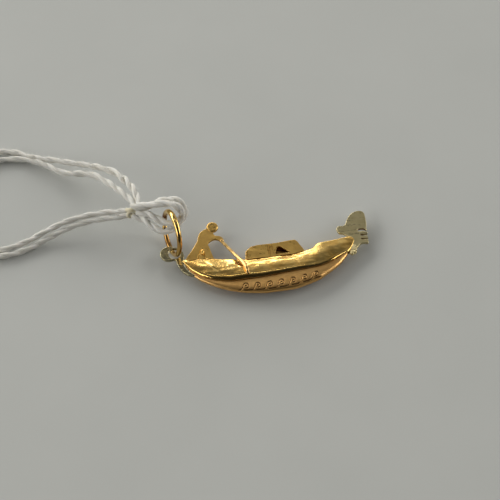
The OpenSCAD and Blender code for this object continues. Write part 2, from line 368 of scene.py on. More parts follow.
def gold(name, light, deep, smoothest, roughest, grain=0.0, scratches=0.0, waves=0.0, brush=(0, 0, 30),
         groove_and_shade_colour=(0.22, 0.085, 0.018)):
    """A gold alloy: colour drift, lighter and smoother sharp edges, scratches, brushed grain and uneven
    polish.
    """
    look = Look(name)
    drift = look.noise(0.7, 4)
    patches = look.noise(2.6, 5, distortion=0.4)
    colour = look.mix(look.spread(drift, 0.35, 0.65, 0, 1), light, deep)
    colour = look.mix(look.spread(patches, 0.48, 0.75, 0, 0.3), colour, [c * 0.7 for c in deep])
    edge = look.edges()
    colour = look.mix(look.maths("MULTIPLY", edge, 0.6), colour, [min(1.0, c * 1.25) for c in light])
    # The dark mark pulls the colour towards the groove colour. This is patina in the engraving, the curtain
    # folds and the solder patch. It is painted shade under the gunwale roll, in the oar's notch, on the
    # filed step, in the comb's slots and on stretches of the ring.
    colour = look.mix(look.mark("dark"), colour, groove_and_shade_colour)
    hairs = look.noise(1.0, 4, look.stretched((0.5, 9, 4), brush), rough=0.6)
    polish = look.spread(patches, 0.3, 0.7, smoothest, roughest)
    polish = look.maths("ADD", polish, look.spread(hairs, 0.35, 0.65, -0.03, 0.05))
    polish = look.maths("ADD", polish, look.maths("MULTIPLY", look.mark("rough"), 0.3))
    polish = look.maths("SUBTRACT", polish, look.maths("MULTIPLY", edge, 0.12))
    normal = look.bump(look.noise(0.9, 1), 1.0, waves)
    normal = look.bump(hairs, 1.0, scratches, normal)
    normal = look.bump(look.noise(22, 2, rough=0.6), 1.0, grain, normal)
    look.set(Base_Color=colour, Metallic=1.0, Roughness=look.maths("MAXIMUM", polish, 0.06), Normal=normal)
    return look.material


def cotton_look():
    look = Look("cotton")
    fibres = look.noise(9, 5, look.stretched((3, 3, 3)), rough=0.7)
    patches = look.noise(1.1, 3)
    colour = look.mix(look.spread(fibres, 0.3, 0.7, 0, 1), (0.80, 0.785, 0.735), (0.68, 0.655, 0.60))
    colour = look.mix(look.spread(patches, 0.4, 0.75, 0, 0.5), colour, (0.72, 0.69, 0.58))
    colour = look.mix(look.mark("tint"), colour, (0.86, 0.72, 0.34))
    normal = look.bump(fibres, 0.6, 0.05)
    look.set(Sheen_Weight=0.35, Sheen_Roughness=0.5, Subsurface_Weight=0.25,
             Subsurface_Radius=(0.0008, 0.0007, 0.0006), Subsurface_Scale=0.5)
    look.set(Base_Color=colour, Roughness=look.spread(fibres, 0.3, 0.7, 0.82, 0.98), Normal=normal)
    return look.material


def table_look():
    look = Look("table")
    cloud = look.noise(0.05, 4)
    speck = look.noise(4, 4, rough=0.6)
    colour = look.mix(look.spread(cloud, 0.3, 0.7, 0, 1), (0.505, 0.512, 0.486), (0.480, 0.488, 0.463))
    colour = look.mix(look.spread(speck, 0.35, 0.65, 0, 0.3), colour, (0.53, 0.54, 0.512))
    look.set(Base_Color=colour, Roughness=look.spread(speck, 0.3, 0.7, 0.6, 0.75),
             Normal=look.bump(speck, 0.3, 0.01))
    return look.material


LOOKS = {
    "satin_gold": gold("satin_gold", (0.84, 0.50, 0.18), (0.74, 0.42, 0.14), 0.32, 0.44,
                       grain=0.004, scratches=0.003, waves=0.03, brush=(0, 0, 8),
                       groove_and_shade_colour=(0.12, 0.055, 0.016)),
    "polished_gold": gold("polished_gold", (1.0, 0.68, 0.23), (0.93, 0.56, 0.15), 0.10, 0.20,
                          scratches=0.0015, waves=0.05, brush=(0, 0, 75)),
    "figure_gold": gold("figure_gold", (0.76, 0.48, 0.13), (0.66, 0.40, 0.11), 0.30, 0.42,
                        grain=0.004, scratches=0.004, waves=0.02, brush=(0, 0, 35)),
    "ring_gold": gold("ring_gold", (0.92, 0.64, 0.22), (0.80, 0.50, 0.15), 0.12, 0.24,
                      grain=0.001, scratches=0.003, waves=0.04, brush=(80, 0, 0)),
    "pale_gold": gold("pale_gold", (0.95, 0.78, 0.45), (0.84, 0.62, 0.28), 0.26, 0.46,
                      grain=0.012, scratches=0.004, waves=0.10),
    "white_gold": gold("white_gold", (0.64, 0.55, 0.31), (0.56, 0.47, 0.24), 0.30, 0.40,
                       grain=0.004, scratches=0.002, waves=0.02, brush=(0, 0, 80)),
    # A darker copy of white gold for the eyelet: painted shade for the shadow of the ring and string.
    "shaded_white_gold": gold("shaded_white_gold", (0.44, 0.40, 0.26), (0.36, 0.32, 0.18), 0.20, 0.32,
                       grain=0.002, scratches=0.003, waves=0.03, brush=(0, 0, 20)),
    # A darker, rougher copy of polished gold for the oar: its darker colour is painted shade, because the
    # oar caught too much light.
    "oar_painted_shade_gold": gold("oar_painted_shade_gold", (0.70, 0.46, 0.17), (0.52, 0.32, 0.11), 0.26, 0.38,
                     grain=0.003, scratches=0.004, waves=0.03, brush=(0, 0, 60)),
    "cotton": cotton_look(),
}


def present(piece, body, finish, *nodes, look=None):
    """Gives a piece its body and the material of its finish, or of look when that is given, and hides the
    CAD nodes that it stands for.
    """
    piece.data.materials.clear()
    piece.data.materials.append(LOOKS[look or finish])
    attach(piece, body)
    if nodes:
        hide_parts(*nodes)
    return piece


# ---- string

STRING_A = [(-17.2, 7.8, 4.6), (-17.6, 11.3, 4.3), (-19.2, 14.5, 3.7), (-20.9, 16.5, 3.1),
            (-23.5, 18.2, 2.4), (-26.0, 19.5, 1.8), (-28.2, 20.7, 1.3), (-30.2, 21.6, 0.9),
            (-32.2, 22.6, 0.6), (-34.2, 23.8, 0.4), (-36.6, 24.2, 0.4), (-39.4, 23.6, 0.4),
            (-42.4, 21.9, 0.4), (-44.9, 19.0, 0.4), (-46.0, 15.4, 0.4), (-45.6, 11.6, 0.4),
            (-43.9, 8.4, 0.4), (-41.4, 6.2, 0.4), (-38.6, 5.2, 0.4), (-35.6, 5.3, 0.4),
            (-33.1, 6.1, 0.4), (-31.3, 6.85, 0.6), (-29.2, 7.55, 1.0), (-26.9, 8.1, 1.6),
            (-24.5, 8.2, 2.2), (-22.4, 7.95, 2.8), (-20.6, 7.5, 3.3), (-18.6, 7.3, 4.0)]
STRING_B = [(-17.5, 7.9, 4.5), (-18.4, 10.0, 4.1), (-19.7, 12.0, 3.7), (-21.2, 14.1, 3.2),
            (-22.6, 15.8, 2.7), (-24.2, 16.9, 2.2), (-26.0, 17.5, 1.8), (-27.6, 18.3, 1.4),
            (-29.0, 19.6, 1.1), (-30.5, 20.9, 0.8), (-32.4, 22.0, 0.5), (-34.6, 22.6, 0.4),
            (-36.8, 22.6, 0.4), (-39.3, 21.7, 0.4), (-41.7, 20.0, 0.4), (-43.5, 17.6, 0.4),
            (-44.2, 14.6, 0.4), (-43.6, 11.4, 0.4), (-42.0, 8.8, 0.4), (-39.8, 7.0, 0.4),
            (-37.4, 6.2, 0.4), (-35.6, 6.5, 0.5), (-33.6, 7.0, 0.7), (-31.2, 7.9, 1.1),
            (-29.0, 8.6, 1.6), (-26.6, 9.0, 2.1), (-24.4, 9.0, 2.6), (-22.0, 8.7, 3.2),
            (-20.2, 8.2, 3.7), (-18.6, 7.8, 4.2)]
BIGHT_A = [(-18.3, 8.0, 4.5), (-17.1, 7.6, 4.9), (-15.2, 7.5, 5.6), (-13.4, 7.5, 6.3),
           (-11.9, 7.0, 6.5), (-11.0, 6.3, 6.1), (-10.9, 5.6, 5.3), (-11.7, 4.6, 4.6),
           (-13.1, 3.8, 4.1), (-14.4, 3.6, 4.0), (-15.7, 4.7, 4.2), (-16.8, 6.1, 4.1),
           (-18.2, 7.0, 3.9)]
BIGHT_B = [(-18.2, 8.1, 4.8), (-16.8, 7.6, 5.4), (-15.0, 6.9, 6.3), (-13.5, 6.4, 6.9),
           (-12.2, 5.7, 7.1), (-11.4, 5.0, 6.5), (-11.5, 4.5, 5.6), (-12.4, 4.1, 5.0),
           (-13.6, 4.4, 4.9), (-14.8, 5.3, 4.9), (-16.1, 6.4, 4.8), (-17.6, 7.1, 4.4)]
KNOT = np.array([-18.4, 7.6, 4.2])
KNOT_TOP = np.array([-17.2, 7.7, 4.5])

PLY_TURN = 5.2  # length of one turn of the two plies
PLY_R = 0.28
PLY_OUT = 0.15  # from the string's middle to a ply's middle
FIBRE_R = 0.016
STRING_LIFT = 0.1  # the CAD's strings lie this much above the routes


def add_plies(shape, path, seed, turn=PLY_TURN, size=1.0, closed=False, tint=0.0, open_at=None):
    """Two plies twisted round a path, each with the ridges of its own yarns."""
    side, over = sides_of(path, closed)
    steps = np.linalg.norm(np.diff(path, axis=0), axis=1)
    along = np.concatenate([[0], np.cumsum(steps)])
    if closed:
        total = along[-1] + np.linalg.norm(path[0] - path[-1])
        turn = total / max(1, round(total / turn))
    wander = random.Random(seed)
    lean = wander.uniform(0, 2 * math.pi)
    sides = 20
    angle = np.arange(sides) * 2 * math.pi / sides
    for ply in (0, 1):
        drift = np.array([1.1 * noise.noise(Vector((s * 0.22, seed + 3, 1))) for s in along])
        phase = 2 * math.pi * along / turn + lean + drift + ply * math.pi
        loose = np.array([1 + 0.30 * noise.noise(Vector((s * 0.45, seed, ply * 7))) for s in along])
        if open_at:
            loose = loose + open_at[2] * np.exp(-((along - open_at[0]) / open_at[1]) ** 2)
        middle = path + size * PLY_OUT * (loose * np.cos(phase))[:, None] * side \
            + size * PLY_OUT * (loose * np.sin(phase))[:, None] * over
        thick = np.array([1 + 0.16 * noise.noise(Vector((s * 0.8, ply * 5 + 3, seed))) for s in along])
        ridges = 1 + 0.045 * np.cos(6 * (angle[None, :] - 0.9 * phase[:, None])) \
            + 0.03 * np.cos(11 * angle[None, :] + 9 * phase[:, None])
        shape.add_tube(middle, size * PLY_R * thick[:, None] * ridges, sides, closed, tint=tint)


def add_fibres(shape, path, count, seed, reach=0.55, tint=0.0):
    """Loose cotton hairs that stand out of a string."""
    dice = random.Random(seed)
    side, over = sides_of(path)
    along = unit(np.gradient(path, axis=0))
    for _ in range(count):
        i = dice.randrange(2, len(path) - 2)
        a = dice.uniform(0, 2 * math.pi)
        out = math.cos(a) * side[i] + math.sin(a) * over[i]
        root = path[i] + out * STRING_R * 0.75
        drift = along[i] * dice.choice((-1, 1)) * dice.uniform(0.3, 1.0)
        curl = np.cross(out, along[i]) * dice.uniform(-0.6, 0.6)
        length = reach * dice.uniform(0.25, 1.0) ** 1.5 + 0.1
        t = np.linspace(0, 1, 5)[:, None]
        hair = root + length * (out * t * dice.uniform(0.3, 0.9) + drift * t + curl * t ** 2)
        hair[:, 2] = np.maximum(hair[:, 2], FIBRE_R)
        shape.add_tube(hair, FIBRE_R * np.array([1.0, 0.95, 0.85, 0.65, 0.35]), 3, tint=tint)


def string(name, route, seed, hairs, *nodes, lift=0.0, size=1.0, open_at=None):
    path = evenly(catmull_rom(route, 0.1), 0.085) + [0, 0, lift]
    shape = Shape()
    add_plies(shape, path, seed, size=size, open_at=open_at)
    add_fibres(shape, path, hairs, seed + 50)
    return present(shape.piece(name), "ring", "cotton", *nodes), path


def knot_path(centre, axis, across, size):
    """A trefoil, as a tied overhand knot pulls up."""
    axis = unit(np.array(axis, float))
    one = unit(np.cross(axis, [0.0, 0.0, 1.0]))
    two = np.cross(axis, one)
    t = np.linspace(0, 2 * math.pi, 150, endpoint=False)
    u, v, w = np.sin(t) + 2 * np.sin(2 * t), np.cos(t) - 2 * np.cos(2 * t), -np.sin(3 * t)
    return centre + size * (u[:, None] * one + v[:, None] * two) + across * w[:, None] * axis


def make_strings():
    string_a, path_a = string("string_a", STRING_A, 1, 4000, "string_a",
                              lift=STRING_LIFT, open_at=(7, 5, 0.9))
    string_b, path_b = string("string_b", STRING_B, 2, 3600, "string_b",
                              lift=STRING_LIFT, open_at=(9, 5, 0.5))
    bight_a, _ = string("string_bight_a", BIGHT_A, 3, 900, "string_bight_a", size=1.25)
    bight_b, _ = string("string_bight_b", BIGHT_B, 4, 900, "string_bight_b", size=1.25)
    knot = Shape()
    lower = knot_path(KNOT, (1.0, 0.1, 0.25), 0.42, 0.17)
    upper = knot_path(KNOT_TOP, (0.9, -0.3, 0.5), 0.30, 0.13)
    add_plies(knot, lower, 5, turn=2.6, size=0.86, closed=True, tint=0.45)
    add_plies(knot, upper, 6, turn=2.4, size=0.8, closed=True, tint=0.04)
    add_fibres(knot, lower, 90, 61, 0.5, tint=0.15)
    add_fibres(knot, upper, 60, 62, 0.5)
    knot = present(knot.piece("string_knot"), "ring", "cotton", "string_knot")


make_strings()


# ---- hull and deck

RIDGE = [(-12.2, 0.3), (-7.8, -0.25), (-5.1, -0.7), (-2.7, -1.1), (1.2, -1.05), (3.8, -1.0), (5.4, -0.7),
         (6.7, -0.45), (7.2, 0.1), (7.9, 0.35), (9.4, 0.5), (12.3, 1.0), (12.9, 0.85)]
GUNWALE = [(-12.2, 0.15), (-10.8, -2.1), (-8.7, -3.8), (-6.1, -4.65), (-4.4, -4.75), (-0.8, -4.75),
           (3.0, -4.4), (7.1, -3.95), (9.0, -3.25), (11.1, -2.0), (11.7, -1.7), (12.3, -0.85), (12.9, 0.5)]
KEEL = [(-12.2, 0.05), (-10.7, -2.75), (-8.8, -4.4), (-6.3, -5.7), (-4.6, -6.3), (-3.0, -6.65),
        (-1.1, -6.9), (0.3, -6.9), (2.6, -6.85), (3.8, -6.7), (6.9, -5.7), (7.4, -5.4), (10.0, -3.65),
        (11.7, -1.85)]
DECK_ENDS = (-12.2, 12.9)
HULL_ENDS = (-11.8, 11.4)
WALL = 0.22
BULGE = 0.14
LEAST_DEPTH = 0.1


def smooth(x, line):
    """The height of a smooth curve through the points of a line"""
    i = 0
    while i < len(line) - 2 and x > line[i + 1][0]:
        i += 1

    def slope(k):
        a, b = line[max(k - 1, 0)], line[min(k + 1, len(line) - 1)]
        return (b[1] - a[1]) / (b[0] - a[0])

    w = line[i + 1][0] - line[i][0]
    s = (x - line[i][0]) / w
    return ((2 * s ** 3 - 3 * s ** 2 + 1) * line[i][1] + (s ** 3 - 2 * s ** 2 + s) * w * slope(i)
            + (3 * s ** 2 - 2 * s ** 3) * line[i + 1][1] + (s ** 3 - s ** 2) * w * slope(i + 1))


def beam(x):
    return HALF_BEAM * max(0.0, 1 - abs((x - 0.35) / 12.9) ** 2.4) ** 0.75


def bead(x):
    """Radius of the rolled edge: widest towards the stern"""
    wide = float(np.interp(x, [-12.2, -9.5, -6.5, -3, 1, 5, 9, 12.9],
                           [0.2, 0.62, 0.80, 0.72, 0.60, 0.50, 0.42, 0.2]))
    return min(wide, 0.68 * beam(x), (ridge(x) - gunwale(x)) / 3)


def ridge(x):
    return smooth(x, RIDGE)


def gunwale(x):
    return min(smooth(x, GUNWALE), ridge(x) - LEAST_DEPTH)


def keel(x):
    return min(smooth(x, KEEL), gunwale(x) - LEAST_DEPTH)


def line_distance(x, y, points):
    """Distance of points (x, y) from a line of segments"""
    nearest = np.full(np.shape(x), 1e9)
    for (ax, ay), (bx, by) in zip(points[:-1], points[1:]):
        dx, dy = bx - ax, by - ay
        t = np.clip(((x - ax) * dx + (y - ay) * dy) / max(dx * dx + dy * dy, 1e-9), 0, 1)
        nearest = np.minimum(nearest, np.hypot(x - ax - t * dx, y - ay - t * dy))
    return nearest


def ramp(low, high, value):
    t = np.clip((value - low) / (high - low), 0, 1)
    return t * t * (3 - 2 * t)


WAVES = 7
WAVES_FROM, WAVES_TO = -4.7, 7.0
STROKE = 0.10
STROKE_DEPTH = 0.075
# One curl of a running wave, in shares of its pitch and height
CURL = [(-0.52, -0.5), (-0.34, -0.42), (-0.20, -0.12), (-0.08, 0.28), (0.08, 0.48), (0.26, 0.44),
        (0.34, 0.18), (0.28, -0.10), (0.14, -0.18), (0.04, -0.04), (0.08, 0.12), (0.16, 0.14)]


def engraving(x, down, height):
    """Depth and darkness of the running wave, from 0 to 1, at x and at a distance down from its middle"""
    cut, dark = np.zeros(np.shape(x)), np.zeros(np.shape(x))
    pitch = (WAVES_TO - WAVES_FROM) / WAVES
    curl = catmull_rom([(a, b, 0) for a, b in CURL], 0.06)
    for k in range(WAVES):
        middle = WAVES_FROM + (k + 0.5) * pitch
        tall = float(np.interp(middle, [-5, 2, 7], [1.0, 1.1, 0.85])) * height
        near = np.abs(x - middle) < pitch
        line = [(middle + a * pitch, -b * tall) for a, b, _ in curl]
        floor = [(middle - 0.05 * pitch, 0.5 * tall), (middle + 0.5 * pitch, 0.5 * tall)]
        for stroke in (line, floor):
            away = line_distance(x[near], down[near], stroke)
            cut[near] = np.maximum(cut[near], 1 - ramp(0.25 * STROKE, STROKE, away))
            dark[near] = np.maximum(dark[near], 1 - ramp(0.5 * STROKE, 1.3 * STROKE, away))
    return cut, dark


def hull_outside(xs, parts):
    """Outer surface of the hull: one row of points for each x, from the near gunwale round to the far one"""
    a = np.linspace(0, math.pi / 2, parts)
    rows = []
    for x in xs:
        g, k, b = gunwale(x), keel(x), beam(x) - 0.75 * bead(x)
        y = g - (g - k) * np.sin(a)
        z = b * np.maximum(np.cos(a), 0) ** 0.75
        half = np.column_stack([np.full(parts, x), y, z])
        far = half[-2::-1] * [1, 1, -1]
        rows.append(np.vstack([half, far]))
    return np.array(rows)


def grid_normals(grid):
    down, across = np.gradient(grid, axis=0), np.gradient(grid, axis=1)
    return unit(np.cross(across, down))


def make_hull():
    fine = np.arange(WAVES_FROM - 0.3, WAVES_TO + 0.4, 0.045)
    stern = np.linspace(HULL_ENDS[0], fine[0], 60, endpoint=False)
    bow = np.linspace(fine[-1], HULL_ENDS[1], 45)[1:]
    xs = np.concatenate([stern, fine, bow])
    parts = 62
    grid = hull_outside(xs, parts)
    normal = grid_normals(grid)
    normal *= np.sign(normal[len(xs) // 2, parts - 1, 1] * -1)
    run = np.concatenate([np.zeros((len(xs), 1)),
                          np.cumsum(np.linalg.norm(np.diff(grid, axis=1), axis=2), axis=1)], axis=1)
    whole = run[:, -1:]
    down = np.minimum(run, whole - run)
    middle = 0.55 * whole / 2
    height = 1.05
    x = np.broadcast_to(xs[:, None], run.shape)
    cut, tarnish = engraving(x, down - middle, height)
    uneven = np.array([[noise.noise(Vector((p[0] * 0.55, p[1] * 0.7, 3 + p[2])))
                        + 0.35 * noise.noise(Vector((p[0] * 1.9, p[1] * 2.1, p[2] * 2 + 9))) for p in row]
                       for row in grid[:, ::3]])
    uneven = np.repeat(uneven, 3, axis=1)[:, :run.shape[1]]
    grid = grid - normal * (STROKE_DEPTH * cut)[..., None]
    edge = ramp(0, 0.5, down)
    grid = grid + normal * (0.012 * uneven * edge)[..., None]
    inner = []
    for x in xs:
        g, k, b = gunwale(x), keel(x), beam(x) - 0.75 * bead(x)
        w = min(WALL, 0.35 * b, 0.3 * (g - k))
        a = np.linspace(0, math.pi / 2, 9)
        y = g - (g - k - 1.2 * w) * np.sin(a)
        z = (b - w) * np.maximum(np.cos(a), 0) ** 0.75
        half = np.column_stack([np.full(9, x), y, -z])
        inner.append(np.vstack([half, half[-2::-1] * [1, 1, -1]]))
    ring = np.concatenate([grid, np.array(inner)], axis=1)
    ring[..., 2] += MID_Z
    dark = np.concatenate([tarnish * 0.95, np.zeros((len(xs), 17))], axis=1)
    rough = np.concatenate([cut * 0.5, np.zeros((len(xs), 17))], axis=1)
    shape = Shape().add(ring, grid_faces(len(xs), ring.shape[1], False), dark=dark, rough=rough)
    present(shape.piece("hull"), "charm", "satin_gold", "hull_shell")


def top_share(x):
    """Half width of the ridge as a share of the deck's: the foredeck is flatter"""
    return 0.36 + 0.34 * float(ramp(4.6, 9.6, x))


def eased_ridge(x):
    """The ridge without its step, which fades out down the side of the deck"""
    return sum(ridge(x + step) for step in (-2.0, -1.0, 0.0, 1.0, 2.0)) / 5


def deck_section(x):
    """Half of the deck's outer section, from the middle of the ridge to the underside of the gunwale"""
    easing = (eased_ridge(x) - ridge(x)) * float(ramp(3.6, 5.2, x) * ramp(11.0, 9.6, x))
    r0, g, b, r = ridge(x), gunwale(x), beam(x), bead(x)
    top = top_share(x) * b
    soft = min(0.26, 0.25 * (r0 - g), 0.8 * top)
    points = [(r0, z) for z in np.linspace(0, top - soft, 6)]
    points += [(r0 - soft + soft * math.cos(a), top - soft + soft * math.sin(a))
               for a in np.radians(np.linspace(10, 76, 9))]
    lean = math.radians(12)
    y0, y1 = r0 - soft, g + r + r * math.sin(lean)
    z1 = b - r + r * math.cos(lean)
    for t in np.linspace(0.04, 0.96, 30):
        lower = easing * float(ramp(0.0, 0.35, t)) * (1 - t)
        points.append((y0 + (y1 - y0) * t + lower, top + (z1 - top) * t + BULGE * b * math.sin(math.pi * t)))
    points += [(g + r + r * math.sin(a), b - r + r * math.cos(a))
               for a in np.radians(np.linspace(12, -104, 26))]
    return points


# The notch beside the oar's foot is a dent that also carries a painted shadow of the oar.
NOTCH = [(-4.4, -1.75), (-3.9, -2.2), (-3.35, -2.55)]  # beside the oar's foot


def deck_relief(x, y, near):
    """Height, darkness and roughness of the deck's dents, crease, notch, rough patch and filed step, in
    millimetres. The darkness in the notch and on the filed step is painted shade; the rough patch's darkness
    is its own colour.
    """
    p = Vector((x * 0.5, y * 0.6, 0 if near else 9))
    height = 0.030 * noise.noise(p) + 0.022 * noise.noise(Vector((x * 0.45, y * 1.5, 7)))
    dark = rough = 0.0
    if near:
        hammer = math.exp(-((x - 2.4) / 1.7) ** 2) * math.exp(-((y + 2.0) / 1.1) ** 2)
        height += 0.016 * hammer * noise.noise(Vector((x * 1.9, y * 3.2, 4)))
        crease = abs((x + 7.95) * 0.80 + (y + 2.0) * 0.60)
        height += -0.030 * math.exp(-(crease / 0.15) ** 2) * math.exp(-((y + 2.0) / 1.2) ** 2)
        patch = math.exp(-(((x - 4.1 + 0.2 * (y + 2.2)) / 0.36) ** 4)) * math.exp(-((y + 2.3) / 1.15) ** 4)
        crumbs = noise.noise(Vector((x * 4.5, y * 4.5, 2))) + 0.6 * noise.noise(Vector((x * 9, y * 9, 5)))
        height += patch * 0.030 * crumbs
        rough += patch * 0.5
        dark += patch * (0.25 + max(0.0, -0.6 * crumbs))
        notch = float(line_distance(np.array([x]), np.array([y]), NOTCH)[0])
        hole = math.exp(-(notch / 0.26) ** 3)
        lip = math.exp(-((notch - 0.38) / 0.12) ** 2)
        height += -0.14 * hole + 0.03 * lip
        # Painted shadow of the oar, darkening the notch.
        dark += 0.95 * hole
        # The filed step on the foredeck is rougher, and its colour is darkened as painted shade over its
        # highlight.
        filed_and_shaded_step = math.exp(-((x - 6.9) / 0.8) ** 2) * math.exp(-((y + 0.4) / 1.3) ** 2)
        rough += filed_and_shaded_step
        dark += 0.30 * filed_and_shaded_step
    return height, dark, rough


def make_deck():
    xs = np.concatenate([np.linspace(DECK_ENDS[0], -11.6, 14, endpoint=False),
                         np.arange(-11.6, 12.4, 0.07), np.linspace(12.4, DECK_ENDS[1], 12)])
    rows = []
    for x in xs:
        half = np.array(deck_section(x))
        row = np.vstack([np.column_stack([np.full(len(half), x), half]),
                         np.column_stack([np.full(len(half), x), half * [1, -1]])[:0:-1]])
        rows.append(row)
    outer = np.array(rows)
    count = len(half)
    near, far = outer[:, :count], outer[:, count:]
    marks = []
    for strip, is_near in ((near, True), (far, False)):
        out = grid_normals(strip)
        middle = out[len(xs) // 2, strip.shape[1] // 2]
        out *= np.sign(middle[2]) * (1 if is_near else -1)
        relief = np.array([[deck_relief(p[0], p[1], is_near) for p in row] for row in strip])
        fade = np.clip(np.minimum(xs - DECK_ENDS[0], DECK_ENDS[1] - xs) / 1.0, 0, 1)[:, None]
        strip += out * (relief[..., 0] * fade)[..., None]
        # Painted shade along the underside of the rolled gunwale, where the roll turns down and under.
        under = np.zeros(count)
        under[-26:] = 0.80 * ramp(-38, -66, -np.abs(np.linspace(12, -104, 26)))
        relief[..., 1] += under if is_near else under[:0:-1]
        marks.append(relief[..., 1:])
    inside = []
    for x in xs:
        r0, g, b, r = ridge(x), gunwale(x), beam(x), bead(x)
        w = min(WALL, 0.3 * b, 0.2 * (r0 - g))
        half = [(r0 - 1.2 * w, max(top_share(x) * b - 0.9 * w, 0.02)), (g + r, b - 1.2 * w - 0.1 * r),
                (g + 0.15 * r, max(b - 1.4 * r - w, 0.02))]
        points = half[::-1] + [(r0 - 1.2 * w, 0)] + [(y, -z) for y, z in half]
        inside.append([(x, y, z) for y, z in points])
    ring = np.concatenate([near, np.array(inside), far], axis=1)
    ring[..., 2] += MID_Z
    blank = np.zeros((len(xs), 7))
    dark = np.concatenate([marks[0][..., 0], blank, marks[1][..., 0]], axis=1)
    rough = np.concatenate([marks[0][..., 1], blank, marks[1][..., 1]], axis=1)
    shape = Shape().add(ring, grid_faces(len(xs), ring.shape[1], False),
                        dark=np.clip(dark, 0, 1), rough=rough)
    present(shape.piece("deck"), "charm", "polished_gold", "deck_shell")


make_hull()
make_deck()


# ---- plates

FERRO = [(12.1, -1.5, CORNER), (12.0, -0.2), (12.3, 0.9, CORNER), (11.9, 1.15), (11.4, 1.6), (10.85, 1.8),
         (10.62, 2.2), (10.65, 2.7), (10.95, 3.0), (11.65, 3.0), (11.9, 3.15), (12.05, 3.4), (12.3, 4.0),
         (12.55, 4.4), (12.9, 4.8), (13.4, 5.15), (13.9, 5.33), (14.4, 5.33), (14.75, 5.2), (14.98, 4.85),
         (15.05, 4.2), (15.03, 3.2), (14.9, 2.2), (14.85, 1.75, CORNER), (14.5, 2.05), (14.05, 2.15),
         (13.65, 2.05), (13.52, 1.85), (13.65, 1.7), (14.3, 1.68), (14.75, 1.5), (14.9, 1.35, CORNER),
         (14.85, 1.08, CORNER), (13.85, 1.15, CORNER), (13.83, 0.9, CORNER), (14.8, 0.8, CORNER),
         (14.85, 0.35, CORNER), (13.85, 0.42, CORNER), (13.83, 0.22, CORNER), (14.8, 0.1, CORNER),
         (14.75, -0.5, CORNER), (13.7, -0.45), (13.2, -0.9), (12.7, -1.5, CORNER)]
TANG = [(12.5, -0.5, CORNER), (13.0, -0.8, CORNER), (13.1, -1.0), (12.85, -1.2, CORNER), (12.9, -1.45),
        (12.65, -1.6, CORNER), (12.7, -1.9), (12.4, -1.95, CORNER), (12.2, -2.15), (11.9, -1.95),
        (11.8, -1.7), (12.0, -1.3), (12.1, -0.8, CORNER)]
EYELET_AT, EYELET_R = (-13.75, 1.55), 1.3
HOLE_AT, HOLE_R = (-13.0, 1.4), 0.85
NECK = [(-12.85, -0.1), (-12.65, -0.9), (-12.3, -1.7), (-11.8, -2.3), (-11.1, -2.75), (-10.5, -2.85, CORNER),
        (-11.1, -2.2), (-11.6, -1.5), (-11.9, -0.6), (-11.75, 0.3), (-11.7, 1.2), (-11.95, 2.0),
        (-12.5, 2.45)]
# Raised rims along the neck
NECK_RIMS = [[(-12.9, 0.1), (-12.62, -0.85), (-12.28, -1.62), (-11.8, -2.2), (-11.15, -2.64),
              (-10.6, -2.8)],
             [(-11.85, -0.2), (-11.75, -0.9), (-11.52, -1.5), (-11.1, -2.12), (-10.62, -2.74)]]
FIGURE = [(-11.55, 0.1, CORNER), (-11.3, 0.6), (-10.6, 1.5), (-9.75, 2.8), (-9.5, 3.2), (-9.38, 3.6),
          (-9.15, 4.3), (-8.75, 4.8), (-8.1, 5.15), (-7.5, 5.3), (-7.1, 4.9), (-7.05, 4.35), (-6.85, 3.85),
          (-6.3, 3.7), (-5.9, 3.4), (-5.7, 2.95, CORNER), (-5.9, 2.55), (-6.15, 2.65), (-6.45, 3.0),
          (-6.85, 3.15), (-7.25, 3.12), (-7.75, 2.85), (-8.1, 2.5, CORNER), (-7.95, 2.1), (-7.75, 1.0),
          (-7.55, 0.1), (-7.5, -0.45, CORNER), (-8.75, -0.3, CORNER), (-8.75, 0.6), (-8.8, 1.75, CORNER),
          (-8.95, 1.7), (-9.7, 0.5), (-9.75, -0.2, CORNER), (-11.4, -0.1, CORNER)]
HEAD_AT, HEAD_R = (-7.05, 5.4), 0.84


def make_ferro():
    thick = thickness_of("bow_ferro")
    points, faces = cut_sheet(FERRO, [], thick, 0.07, MID_Z)
    points = np.array(points)
    x, y, z = points.T
    # Painted shade on the walls of the slots in the comb.
    shaded_slot_walls = (x > 13.4) & (x < 14.7) & (y > 0.1) & (y < 2.3) & (abs(z - MID_Z) < 0.5 * thick - 0.03)
    shape = Shape().add(points, faces, dark=np.where(shaded_slot_walls, 0.9, 0.0))
    present(shape.piece("bow_iron", flat_caps=True), "charm", "white_gold", "bow_ferro")


def make_tang():
    points, faces = cut_sheet(TANG, [], thickness_of("ferro_tang"), 0.10, MID_Z)
    shape = Shape().add(points, faces)
    for k, (x, y) in enumerate([(12.45, -1.3), (12.2, -1.75), (12.75, -0.95), (12.5, -1.75), (12.35, -0.9)]):
        shape.add_blob((x, y, MID_Z), (0.27, 0.24, 0.27), 0.5, 10 + k)
    present(shape.piece("ferro_tang_piece"), "charm", "pale_gold", "ferro_tang")


def make_eyelet():
    outline = arc(EYELET_AT, EYELET_R, 55, 300, 24) + NECK
    hole = arc(HOLE_AT, HOLE_R, 0, 345, 24)
    shape = Shape().add(*cut_sheet(outline, [hole], thickness_of("stern_eyelet"), 0.13, MID_Z))
    rim = thickness_of("stern_eyelet") / 2
    for line in NECK_RIMS:
        path = catmull_rom([(x, y, MID_Z + rim - 0.03) for x, y in line], 0.08)
        shape.add_tube(path, 0.075 * np.sin(np.linspace(0.5, 2.7, len(path))), 12)
    # The eyelet keeps the white_gold finish and is drawn with a darker copy of it, as painted shade.
    present(shape.piece("eyelet_plate", flat_caps=True), "charm", "white_gold", "stern_eyelet",
            look="shaded_white_gold")


